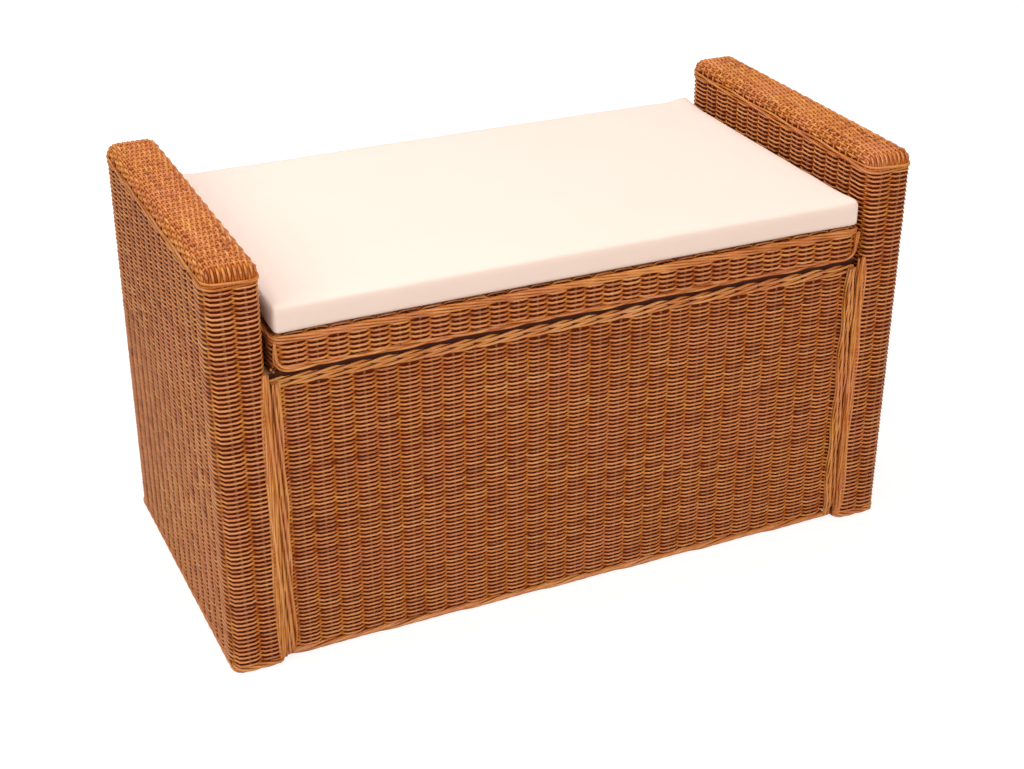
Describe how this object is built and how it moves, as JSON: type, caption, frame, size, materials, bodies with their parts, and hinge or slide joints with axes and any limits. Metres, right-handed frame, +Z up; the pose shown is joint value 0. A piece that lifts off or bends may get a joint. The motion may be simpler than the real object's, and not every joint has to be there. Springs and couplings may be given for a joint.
{
  "type": "wicker storage bench",
  "caption": "Storage bench of brown wicker: a woven chest with a hinged woven lid and a flat cream seat cushion, between taller slab arms.",
  "frame": {"origin": "middle of the footprint, on the floor", "axes": "+Z up, +X to the right of someone in front of the bench, the front faces -Y"},
  "size_m": [1, 0.49, 0.575],
  "materials": {
    "wicker": "lacquered rattan strands",
    "stake_cane": "rattan cane",
    "timber": "planed softwood",
    "plywood": "sanded plywood",
    "hinge_steel": "zinc plated",
    "screw_steel": "zinc plated",
    "cushion_cotton": "plain woven cotton",
    "foam": "cut polyurethane foam"
  },
  "bodies": {
    "bench": {"back_border": "wicker", "back_bottom_rail": "timber", "back_stakes": "stake_cane", "back_top_rail": "timber", "back_upright": "timber", "back_weave": "wicker", "floor_left_bearer": "timber", "floor_middle_bearer": "timber", "floor_panel": "plywood", "floor_right_bearer": "timber", "frame_screws": "screw_steel", "front_border": "wicker", "front_bottom_rail": "timber", "front_stakes": "stake_cane", "front_top_rail": "timber", "front_upright": "timber", "front_weave": "wicker", "hinge_body_screws": "screw_steel", "hinge_pins": "hinge_steel", "left_arm_back_post": "timber", "left_arm_back_trim": "wicker", "left_arm_base_border": "wicker", "left_arm_bottom_rail": "timber", "left_arm_front_post": "timber", "left_arm_front_trim": "wicker", "left_arm_stakes": "stake_cane", "left_arm_top_band": "wicker", "left_arm_top_rail": "timber", "left_arm_top_weave": "wicker", "left_arm_weave": "wicker", "left_hinge_body_leaf": "hinge_steel", "right_arm_back_post": "timber", "right_arm_back_trim": "wicker", "right_arm_base_border": "wicker", "right_arm_bottom_rail": "timber", "right_arm_front_post": "timber", "right_arm_front_trim": "wicker", "right_arm_stakes": "stake_cane", "right_arm_top_band": "wicker", "right_arm_top_rail": "timber", "right_arm_top_weave": "wicker", "right_arm_weave": "wicker", "right_hinge_body_leaf": "hinge_steel"},
    "lid": {"hinge_lid_screws": "screw_steel", "left_hinge_lid_leaf": "hinge_steel", "lid_back_rail": "timber", "lid_board": "plywood", "lid_border": "wicker", "lid_front_rail": "timber", "lid_left_rail": "timber", "lid_middle_rail": "timber", "lid_right_rail": "timber", "lid_screws": "screw_steel", "lid_side_weave": "wicker", "lid_top_weave": "wicker", "right_hinge_lid_leaf": "hinge_steel"},
    "cushion": {"cushion_cover": "cushion_cotton", "cushion_foam": "foam"}
  },
  "joints": [
    {"name": "lid_hinge", "type": "hinge", "parent": "bench", "child": "lid", "pos_m": [0, 0.23685, 0.41825], "axis": [-1, 0, 0], "range_deg": [0, 100]},
    {"name": "cushion_lift", "type": "slide", "parent": "lid", "child": "cushion", "axis": [0, 0, 1], "range_m": [0, 0.25]}
  ]
}
